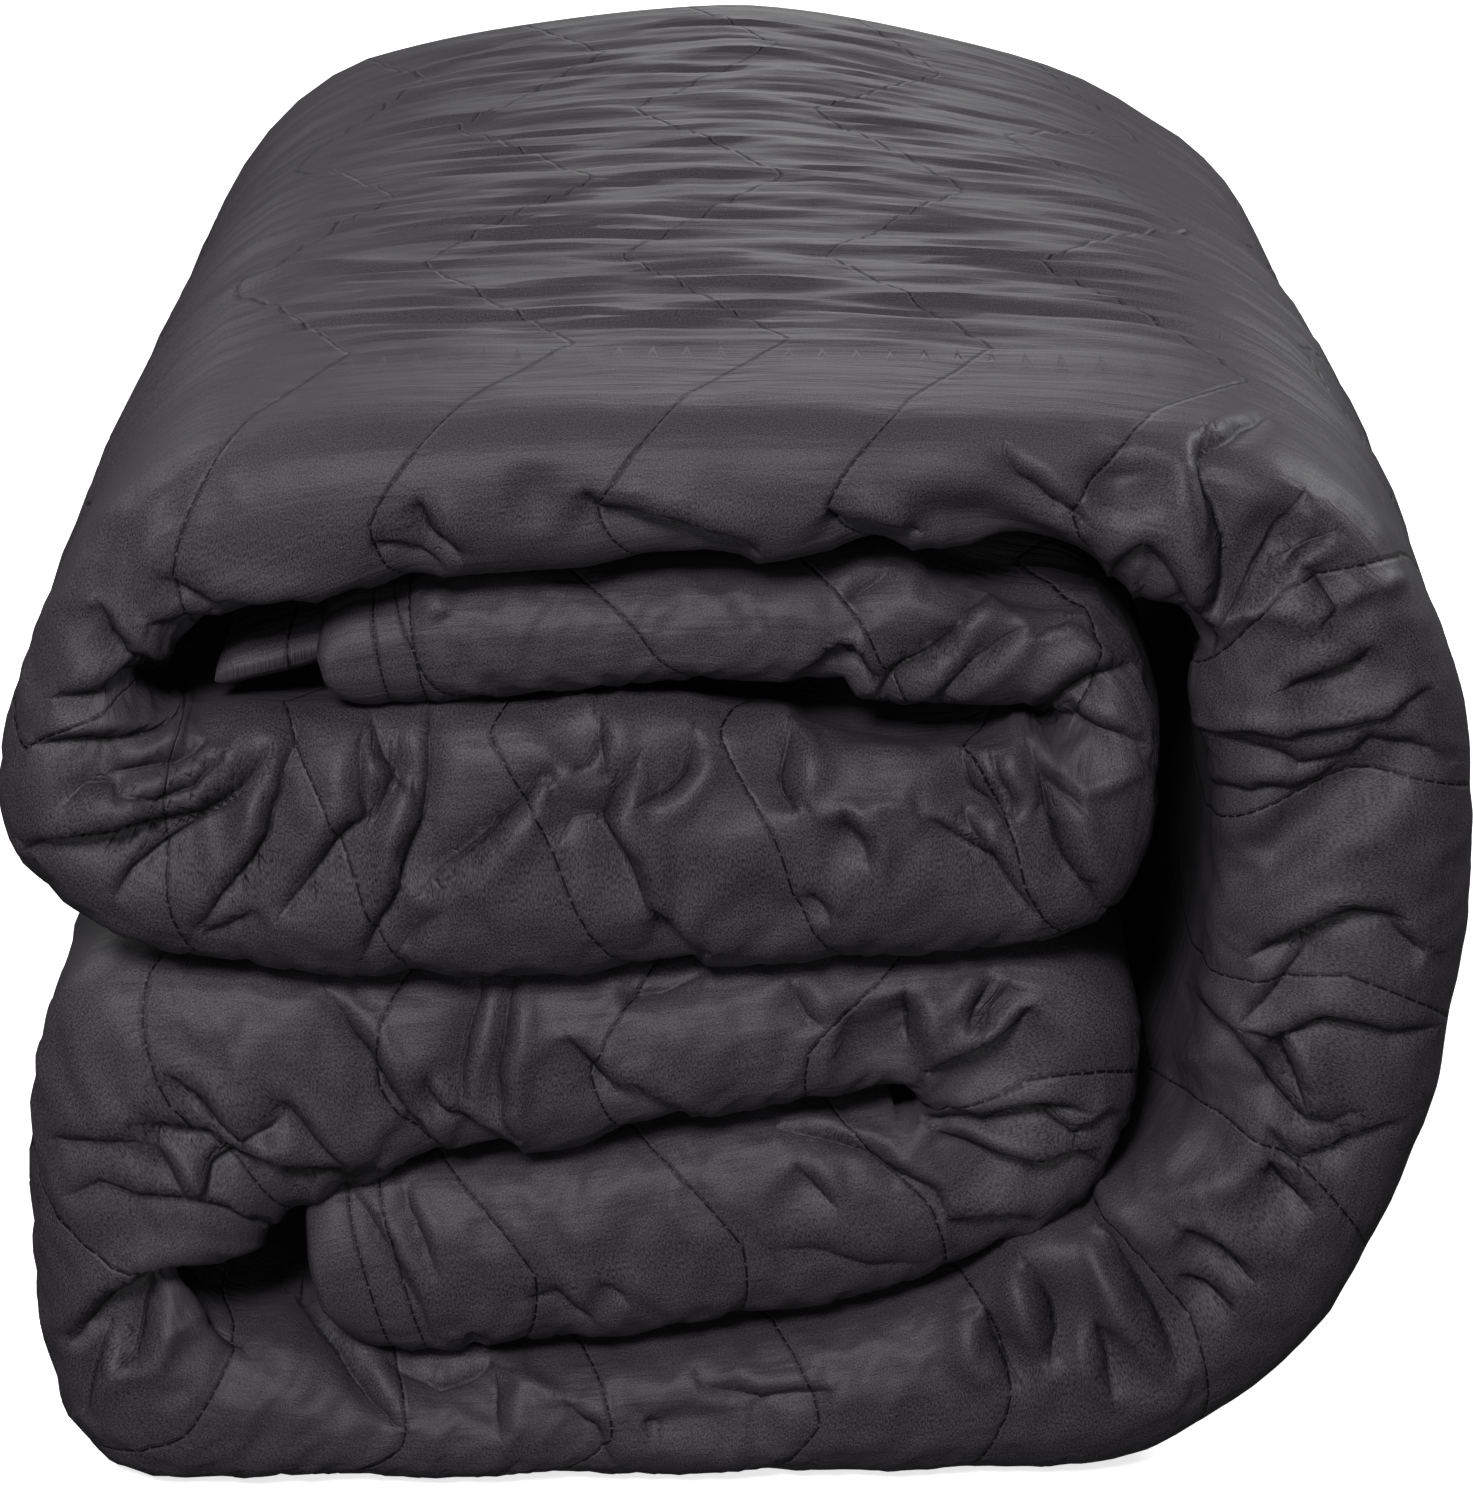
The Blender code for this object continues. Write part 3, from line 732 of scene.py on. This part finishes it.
def cutEdges(cloth, level, cuts, span, band):  # cuts the edges whose ends are level in x (0) or y (1)
    chosen = [e for e in cloth.edges if abs(e.verts[0].co[level] - e.verts[1].co[level]) < 0.01
              and span[0] < e.verts[0].co.x < span[1]
              and band[0] < min(v.co.y for v in e.verts) < band[1]]
    bmesh.ops.subdivide_edges(cloth, edges=chosen, cuts=cuts, use_single_edge=True)


def flatCloth():  # the strip unrolled: x along it, y around it
    columns = clothColumns()
    stations = int(strip["length"] / blanketMesh["alongStep"])
    cloth = bmesh.new()
    bmesh.ops.create_grid(cloth, x_segments=stations, y_segments=len(columns) - 1, size=0.5)
    for vert in cloth.verts:
        vert.co.x = (vert.co.x + 0.5) * strip["length"]
        column = (vert.co.y + 0.5) * (len(columns) - 1)
        vert.co.y = float(np.interp(column, np.arange(len(columns)), columns))
    low, high = blanketMesh["frontBand"]
    whole, shown = (-1, strip["length"] + 1), stripPlace(blanketMesh["shownSpan"])
    cutEdges(cloth, 1, blanketMesh["frontCuts"], whole, (low - 0.1, high + 0.1))
    cutEdges(cloth, 0, blanketMesh["outerCuts"], shown, (high - 0.1, blanketMesh["faces"] + 0.9))
    cutEdges(cloth, 1, 1, shown, (high + 0.1, high + blanketMesh["behindBand"]))
    middles = np.array([face.calc_center_median()[:2] for face in cloth.faces])
    close = creaseDistance(middles[:, 0], middles[:, 1]) < blanketMesh["nearCrease"]
    edges = dict.fromkeys(e for face, isClose in zip(cloth.faces, close) if isClose for e in face.edges)
    bmesh.ops.subdivide_edges(cloth, edges=list(edges), cuts=1, use_grid_fill=True, use_single_edge=True)
    return cloth


def clothPlace(along, around):  # the finished cloth, in the object's frame
    relief = clothRelief(along, around)
    points = foldCloth(along, around) + shift + clothNormal(along, around) * relief[:, None]
    points[:, 2] = np.maximum(points[:, 2], 0)
    return points


def pieceFrom(shape, name):  # an object at the origin
    mesh = bpy.data.meshes.new(name)
    shape.to_mesh(mesh)
    shape.free()
    piece = bpy.data.objects.new(name, mesh)
    bpy.context.scene.collection.objects.link(piece)
    return piece


def triangleCount(piece):
    return sum(len(face.vertices) - 2 for face in piece.data.polygons)


innerPly = {               # the inner ply that stands past the strip's upper end
    "left": -144,
    "right": -96,
    "front": -200,
    "back": 212,
    "low": 251,            # height of its underside at the left
    "rise": 0.3,           # towards the right
    "thick": 12,
    "rounding": 9,         # depth over which its ends close
    "closed": 0.3,         # share of the thickness at the very ends
    "sidePower": 0.45,     # below 1 the section is boxier than an ellipse
    "topPower": 0.6,
    "soft": 1.3,           # height of its dents
    "sway": 1.5,           # how far it wanders to either side
    "rings": 84,
    "around": 40,
    "seamShift": 4,        # how far its hem seams lie from its left edge
    "patternStart": 600,   # where its stitches and grain start
}


def buildInnerPly():
    ply = innerPly
    cloth = bmesh.new()
    bmesh.ops.create_cone(cloth, cap_ends=True, segments=ply["around"], radius1=1, radius2=1, depth=2)
    lengthwise = [e for e in cloth.edges if abs(e.verts[0].co.z - e.verts[1].co.z) > 1]
    bmesh.ops.subdivide_edges(cloth, edges=lengthwise, cuts=ply["rings"])
    layers = [cloth.verts.layers.float.new(name) for name in clothLayers]
    middle, half = (ply["left"] + ply["right"]) / 2, (ply["right"] - ply["left"]) / 2
    for vert in cloth.verts:
        side, up, length = vert.co
        depth = ply["front"] + (ply["back"] - ply["front"]) * (length + 1) / 2
        toEnd = min(depth - ply["front"], ply["back"] - depth)
        closing = math.sqrt(1 - (1 - min(toEnd / ply["rounding"], 1)) ** 2)
        closed = ply["closed"] + (1 - ply["closed"]) * closing
        across = middle + half * math.copysign(abs(side) ** ply["sidePower"], side)
        soft = noise.noise(Vector((across / 14, depth / 22, up)))
        soft += 0.5 * noise.noise(Vector((across / 9, depth / 7, up)))
        height = ply["low"] + ply["rise"] * (across - ply["left"]) + ply["soft"] * soft
        height += ply["thick"] / 2 * (1 + closed * math.copysign(abs(up) ** ply["topPower"], up))
        across += ply["sway"] * noise.noise(Vector((depth / 30, up, 5)))
        along, around = across - ply["left"] - ply["seamShift"], ply["patternStart"] + depth
        for layer, value in zip(layers, (along, around, 0.5, creaseShape["lineReach"], 0)):
            vert[layer] = value
        vert.co = Vector((across, depth, height)) * mm
    bmesh.ops.recalc_face_normals(cloth, faces=cloth.faces)
    piece = pieceFrom(cloth, "innerPly")
    piece.data.shade_smooth()
    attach(piece, "root")
    print("inner ply:", triangleCount(piece), "triangles")
    return piece


def closeEnds(cloth, alongLayer):  # the outer plies stand a little past the middle of each end
    across, depthShare, heightShare = blanketMesh["endInset"]
    for start in (True, False):
        rim = [e for e in cloth.edges if e.is_boundary
               and (e.verts[0][alongLayer] < strip["length"] / 2) == start]
        middle = sum((e.verts[0].co for e in rim), Vector()) / len(rim)
        grown = bmesh.ops.extrude_edge_only(cloth, edges=rim)["geom"]
        for vert in (v for v in grown if isinstance(v, bmesh.types.BMVert)):
            vert.co.z += heightShare * (middle.z - vert.co.z)
            vert.co.y += depthShare * (middle.y - vert.co.y)
            vert.co.x += across
        newEdges = [e for e in grown if isinstance(e, bmesh.types.BMEdge) and e.is_boundary]
        bmesh.ops.triangle_fill(cloth, edges=newEdges, use_beauty=True)


def buildBlanket():
    cloth = flatCloth()
    along, around = np.array([v.co[:2] for v in cloth.verts]).T
    points = clothPlace(along, around) * mm
    layers = [cloth.verts.layers.float.new(name) for name in clothLayers]
    values = np.column_stack([along, around, rowPhase(along, around), *creaseLines(along, around)])
    for vert, point, row in zip(cloth.verts, points, values):
        vert.co = point
        for layer, value in zip(layers, row):
            vert[layer] = value
    last = faceEnd + bundle["backArc"] - 0.01  # the first and the last column meet at the back
    seam = [v for v, at in zip(cloth.verts, around) if at < 0.01 - faceEnd or at > last]
    bmesh.ops.remove_doubles(cloth, verts=seam, dist=1e-6)
    closeEnds(cloth, layers[0])
    bmesh.ops.recalc_face_normals(cloth, faces=cloth.faces)
    blanket = pieceFrom(cloth, "blanketCloth")
    blanket.data.shade_smooth()
    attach(blanket, "root")
    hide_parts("blanket")
    print("blanket cloth:", triangleCount(blanket), "triangles")
    return blanket


# Loose cloth between the rows of stitches buckles into wrinkles; the rows and the hidden cloth hold it
slack = {
    "frames": 10,
    "growth": 0.03,        # how much more cloth there is than the smooth bundle takes
    "frontHold": 0.25,
    "rowHold": 0.6,
    "rowWide": 2.2,        # half width of the held cloth at a row
    "reach": (             # run or bend and share of it, how far back from the crown the cloth is loose
        (0, 20), (2.9, 28), (3.3, 34), (3.8, 18), (4.1, 6), (4.8, 10), (5.1, 12), (5.8, 8), (6.3, 4),
        (6.8, 6), (7.2, 32), (7.8, 30), (8.2, 20), (10.99, 20),
    ),
    "reachFade": 22,
    "innerReach": (26, 15),  # the same on the inner faces, and its fade
    "hemFrom": (12, 20),
    "cloth": {
        "pin_stiffness": 1,
        "quality": 4,
        "mass": 0.3,
        "tension_stiffness": 15,
        "compression_stiffness": 15,
        "shear_stiffness": 5,
        "bending_stiffness": 4,
        "air_damping": 2,
    },
}


def looseCloth(along, around):  # 1 where the cloth is free to buckle, 0 where it is held
    outside = fadeOut(around, (alongTable(along, slack["reach"]), slack["reachFade"]))
    loose = np.where(around > 0, outside, fadeOut(-around, slack["innerReach"]))
    return loose * (fadeIn(hemDistance(along), slack["hemFrom"]) * liveliness(along, around))


def settleSlack(blanket):
    mesh = blanket.data
    count = len(mesh.vertices)
    along, around, places = np.zeros(count), np.zeros(count), np.zeros(3 * count)
    mesh.attributes["alongStrip"].data.foreach_get("value", along)
    mesh.attributes["aroundStrip"].data.foreach_get("value", around)
    loose = looseCloth(along, around)
    row = bell(rowDistance(along, around), slack["rowWide"])
    hold = slack["frontHold"] + (slack["rowHold"] - slack["frontHold"]) * row
    hold = np.where(loose > 0.02, hold + (1 - hold) * (1 - loose), 1)
    held = blanket.vertex_groups.new(name="held")
    grown = blanket.vertex_groups.new(name="grown")
    for k in range(count):
        held.add([k], float(hold[k]), "REPLACE")
        grown.add([k], 1 - float(loose[k]), "REPLACE")
    cloth = blanket.modifiers.new("slack", "CLOTH")
    for name, value in slack["cloth"].items():
        setattr(cloth.settings, name, value)
    cloth.settings.vertex_group_mass = "held"
    cloth.settings.vertex_group_shrink = "grown"
    cloth.settings.shrink_min = -slack["growth"]
    cloth.settings.effector_weights.gravity = 0
    cloth.collision_settings.use_collision = False
    cloth.point_cache.frame_start, cloth.point_cache.frame_end = 1, slack["frames"]
    for frameNumber in range(1, slack["frames"] + 1):
        bpy.context.scene.frame_set(frameNumber)
        bpy.context.view_layer.update()
    settled = blanket.evaluated_get(bpy.context.evaluated_depsgraph_get())
    settled.to_mesh().vertices.foreach_get("co", places)
    settled.to_mesh_clear()
    blanket.modifiers.remove(cloth)
    blanket.vertex_groups.clear()
    places[2::3] = np.maximum(places[2::3], 0)
    mesh.vertices.foreach_set("co", places)
    mesh.update()
    bpy.context.scene.frame_set(1)


clothLook = {
    "colour": (0.0252, 0.0222, 0.0262, 1),
    "light": (0.0352, 0.0318, 0.0356, 1),
    "thread": (0.0015, 0.0015, 0.0018, 1),
    "roughness": 0.56,
    "specular": 0.24,
    "toneScale": (0.02, 0.03),  # patches of the two colours, along and around
    "grainScale": 2.2,
    "grainShade": (0.3, 1.7),  # darkest and palest speck, times the colour
    "fineScale": (0.02, 0.17),
    "puckerScale": (0.035, 0.21),
    "puckerReach": 14,     # distance from a row
    "grooveWide": 1.2,
    "lineWide": 1.3,       # the thin line along a sharp crease, in the bump and as painted shade
    "paintedSteepWide": 4,        # and the painted shade on its steep side
    # how dark the painted crease shade is, on the steep side and along the line
    "paintedSteepShare": 0.45,
    "paintedCreaseShade": 0.9,
    # how far each stands out, in millimetres
    "bump": {"groove": 0.35, "stitch": 0.15, "pucker": 0.9, "fine": 0.7, "grain": 0.1, "line": -0.6},
}


class Wiring:  # short names for making and joining shader nodes
    def __init__(self, material):
        material.use_nodes = True
        self.tree = material.node_tree
        self.shader = self.tree.nodes["Principled BSDF"]

    def node(self, kind, *inputs, **settings):
        made = self.tree.nodes.new("ShaderNode" + kind)
        for name, value in settings.items():
            setattr(made, name, value)
        for k, value in enumerate(inputs):
            self.set(made.inputs[k], value)
        return made

    def set(self, socket, value):
        if isinstance(value, bpy.types.NodeSocket):
            self.tree.links.new(value, socket)
        elif value is not None:
            socket.default_value = value

    def attribute(self, name):
        return self.node("Attribute", attribute_name=name).outputs["Fac"]

    def math(self, operation, *inputs):
        return self.node("Math", *inputs, operation=operation).outputs[0]

    def times(self, first, second):
        return self.math("MULTIPLY", first, second)

    def gap(self, first, second):
        return self.math("ABSOLUTE", self.math("SUBTRACT", first, second))

    def ramp(self, *values, kind="SMOOTHSTEP"):  # value, start, end, and what it gives at each
        return self.node("MapRange", *values, interpolation_type=kind).outputs[0]

    def noise(self, place, scale, detail, rough):
        return self.node("TexNoise", place, None, scale, detail, rough).outputs[0]

    def stretch(self, place, scale):
        return self.node("Mapping", place, None, None, (*scale, 1.0)).outputs[0]

    def mix(self, factor, first, second, blend="MIX"):
        made = self.node("Mix", data_type="RGBA", blend_type=blend)
        for name, value in (("Factor", factor), ("A", first), ("B", second)):
            self.set(made.inputs[name], value)
        return made.outputs["Result"]


def quiltedCloth():
    look = clothLook
    material = bpy.data.materials.new("blackQuiltedCotton")
    wire = Wiring(material)
    along, around, phase, creaseSide, creasePower = (wire.attribute(name) for name in clothLayers)
    onCloth = wire.node("CombineXYZ", along, around, 0.0).outputs[0]
    # dashed stitches on the rows and the two hem seams, in a shallow groove
    nearestRow = wire.math("ROUND", phase)
    far = wire.times(wire.gap(phase, nearestRow), quilting["pitch"] * quilting["lean"])
    hem = wire.math("MINIMUM", along, wire.math("SUBTRACT", strip["length"], along))
    for seam in hemStitches:
        far = wire.math("MINIMUM", far, wire.gap(hem, seam))
    thread = wire.math("LESS_THAN", far, quilting["threadWide"] / 2)
    dash = wire.math("DIVIDE", wire.times(around, quilting["slant"]), quilting["stitchLong"])
    sewn = 1 - quilting["stitchGap"] / quilting["stitchLong"]
    stitch = wire.times(thread, wire.math("LESS_THAN", wire.math("FRACT", dash), sewn))
    groove = wire.ramp(far, 0.0, look["grooveWide"], 0.0, 1.0)
    # puckers that cross the rows
    puckerAlong, puckerAround = look["puckerScale"]
    puckerPlace = wire.node("CombineXYZ", wire.times(nearestRow, 7.0), wire.times(around, puckerAround),
                            wire.times(along, puckerAlong)).outputs[0]
    nearRow = wire.ramp(far, 0.0, look["puckerReach"], 1.0, 0.0)
    pucker = wire.times(wire.noise(puckerPlace, 1.0, 2.0, 0.5), nearRow)
    grain = wire.noise(onCloth, look["grainScale"], 2.0, 0.6)
    fine = wire.noise(wire.stretch(onCloth, look["fineScale"]), 1.0, 4.0, 0.6)
    tone = wire.noise(wire.stretch(onCloth, look["toneScale"]), 1.0, 3.0, 0.6)
    # a crisp line along each crease: a groove in the bump, and painted crease shade in the colour that
    # is darker on its steep side
    closeTo = wire.ramp(wire.math("ABSOLUTE", creaseSide), 0.0, look["lineWide"], 1.0, 0.0)
    line = wire.times(closeTo, creasePower)
    paintedSteepShade = wire.ramp(creaseSide, 0.0, look["paintedSteepWide"], 1.0, 0.0, kind="LINEAR")
    paintedSteepShade = wire.times(paintedSteepShade, wire.math("GREATER_THAN", creaseSide, 0.0))
    shadow = wire.math("MAXIMUM", closeTo, wire.times(paintedSteepShade, look["paintedSteepShare"]))
    shadow = wire.times(shadow, creasePower)
    shade = wire.ramp(grain, 0.36, 0.64, *look["grainShade"], kind="LINEAR")
    # painted shade: the grain speckle is darkened along each crease and on its steep side, where shade
    # would fall
    shade = wire.times(shade, wire.math("SUBTRACT", 1.0, wire.times(shadow, look["paintedCreaseShade"])))
    speckleAndPaintedShade = wire.node("CombineColor", shade, shade, shade).outputs[0]
    colour = wire.mix(tone, look["colour"], look["light"])
    colour = wire.mix(1.0, colour, speckleAndPaintedShade, "MULTIPLY")
    wire.set(wire.shader.inputs["Base Color"], wire.mix(stitch, colour, look["thread"]))
    height = 0.0
    for part, high in zip((groove, stitch, pucker, fine, grain, line), look["bump"].values()):
        height = wire.math("ADD", height, wire.times(part, high))
    bump = wire.node("Bump")
    wire.set(bump.inputs["Strength"], 1.0)
    wire.set(bump.inputs["Distance"], 1 * mm)
    wire.set(bump.inputs["Height"], height)
    wire.set(wire.shader.inputs["Normal"], bump.outputs[0])
    wire.shader.inputs["Roughness"].default_value = look["roughness"]
    wire.shader.inputs["Specular IOR Level"].default_value = look["specular"]
    return material


stageLook = {
    "floor": (0.85, 0.85, 0.85, 1),
    "floorHalf": 6,        # metres from its middle to its edge
    "floorRoughness": 0.7,
    "floorGlow": 0.85,     # keeps it pale
    "room": (1, 1, 1, 1),
    "roomStrength": 0.06,
}
# Soft lamps: place, aim, size, strength
lamps = {
    "frontLamp": ((-0.3, -1.4, 1.4), (0, -0.2, 0.15), 0.4, 35),
    "fillLamp": ((-0.2, -1.8, 0.45), (0, -0.2, 0.15), 1.0, 7.5),
    "backLamp": ((0.1, 1.9, 0.95), (0, 0, 0.3), 0.7, 8),
    "shoulderLamp": ((1.5, 0.8, 1.3), (0.1, 0, 0.2), 0.4, 30),
    "leftLamp": ((-1.3, 1.0, 1.5), (-0.1, 0.1, 0.2), 0.8, 17),
}


def buildFloor():
    shape = bmesh.new()
    bmesh.ops.create_grid(shape, x_segments=1, y_segments=1, size=stageLook["floorHalf"])
    floor = pieceFrom(shape, "floor")
    paint = bpy.data.materials.new("paleFloor")
    paint.use_nodes = True
    shader = paint.node_tree.nodes["Principled BSDF"]
    shader.inputs["Base Color"].default_value = stageLook["floor"]
    shader.inputs["Roughness"].default_value = stageLook["floorRoughness"]
    shader.inputs["Emission Color"].default_value = stageLook["floor"]
    shader.inputs["Emission Strength"].default_value = stageLook["floorGlow"]
    floor.data.materials.append(paint)
    floor.visible_diffuse = floor.visible_glossy = False  # throws no light on the blanket


def placed(name, data, place):
    holder = bpy.data.objects.new(name, data)
    holder.location = place
    bpy.context.scene.collection.objects.link(holder)
    return holder


def buildLight():
    world = bpy.data.worlds.new("paleRoom")
    world.use_nodes = True
    world.node_tree.nodes["Background"].inputs["Color"].default_value = stageLook["room"]
    world.node_tree.nodes["Background"].inputs["Strength"].default_value = stageLook["roomStrength"]
    bpy.context.scene.world = world
    for name, (place, aim, size, strength) in lamps.items():
        lamp = bpy.data.lights.new(name, "AREA")
        lamp.size, lamp.energy = size, strength
        holder = placed(name, lamp, place)
        holder.rotation_euler = (Vector(aim) - Vector(place)).to_track_quat("-Z", "Y").to_euler()


def buildCamera():
    camera = bpy.data.cameras.new("camera")
    camera.lens = eye["lens"]
    holder = placed("camera", camera, eye["place"])
    holder.rotation_euler = (math.radians(90 - eye["tilt"]), 0, 0)
    bpy.context.scene.camera = holder
    bpy.context.scene.view_settings.view_transform = "Standard"


buildFloor()
buildLight()
buildCamera()
print("stage and camera: done")
blanket = buildBlanket()
settleSlack(blanket)
print("slack cloth: settled")
cloth = quiltedCloth()
for piece in (blanket, buildInnerPly()):
    piece.data.materials.append(cloth)
